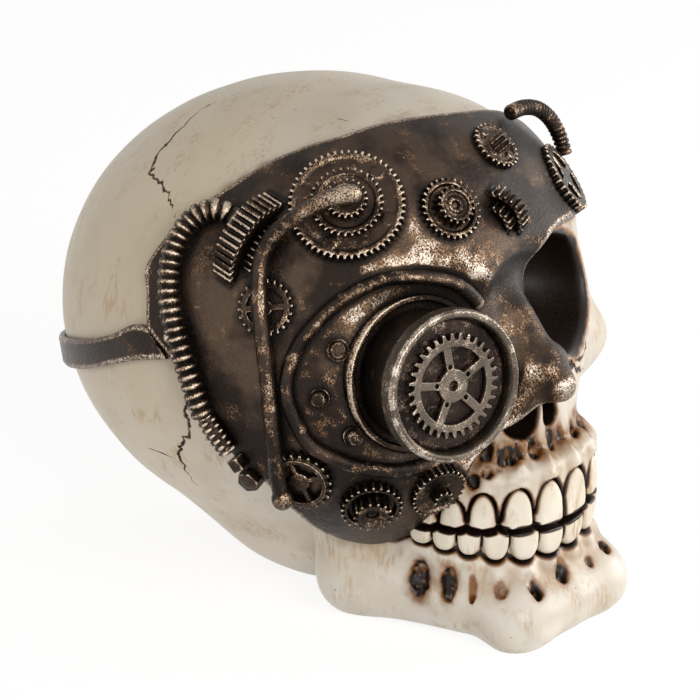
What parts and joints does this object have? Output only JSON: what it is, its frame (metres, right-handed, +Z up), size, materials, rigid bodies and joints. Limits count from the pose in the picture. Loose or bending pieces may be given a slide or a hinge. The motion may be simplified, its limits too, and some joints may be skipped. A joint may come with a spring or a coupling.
{
  "type": "halloween skull decoration",
  "caption": "Shelf skull with a clockwork half mask, a short eyepiece over one eye, hoses and gears, resting on its flat base.",
  "frame": {"origin": "on the flat underside of the skull's base, on the midline, at the height of the surface that it stands on", "axes": "+Z up; -Y towards the face; +X towards the open eye, so the masked eye is on the -X side"},
  "size_m": [0.1439, 0.1621, 0.1344],
  "materials": {
    "bone": "ivory paint with umber wash, semi-gloss, on cast polyresin",
    "tooth": "ivory paint with umber lines between the crowns, semi-gloss, on cast polyresin",
    "mask": "near-black brown paint, dry-brushed with bronze, satin, on cast polyresin",
    "bronze": "antique bronze paint with bright worn edges, satin, on cast polyresin",
    "worn_rim": "silver-bronze paint, worn bright, satin, on cast polyresin",
    "dark_plate": "dark brown paint, satin, on cast polyresin"
  },
  "bodies": {
    "root": {"cranium": "bone", "mandible": "bone", "upper_teeth": "tooth", "lower_teeth": "tooth", "mask_plate": "mask", "head_strap": "mask", "strap_rivet": "bronze", "eyepiece_collar": "bronze", "eyepiece_barrel": "mask", "bezel_ring": "worn_rim", "lens_plate": "dark_plate", "lens_gear": "worn_rim", "socket_rim": "bronze", "curved_pipe": "bronze", "corrugated_hose": "bronze", "hose_ferrule": "bronze", "hose_socket": "bronze", "hex_bolt": "bronze", "big_gear": "bronze", "middle_gear": "bronze", "hub_gear": "bronze", "drum_gear": "bronze", "drum_pinion": "bronze", "temple_gear": "bronze", "upper_stud": "bronze", "middle_stud": "bronze", "lower_stud": "bronze", "ring_gear": "bronze", "cup_gear": "bronze", "cup_pinion": "bronze", "cheek_gear": "bronze", "cheek_hub": "bronze", "forehead_gear": "bronze", "forehead_hub": "bronze", "tilted_gear": "bronze", "tilted_pinion": "bronze", "crown_gear": "bronze", "crown_pinion": "bronze", "brow_hose": "bronze", "brow_gear": "bronze"}
  },
  "joints": []
}
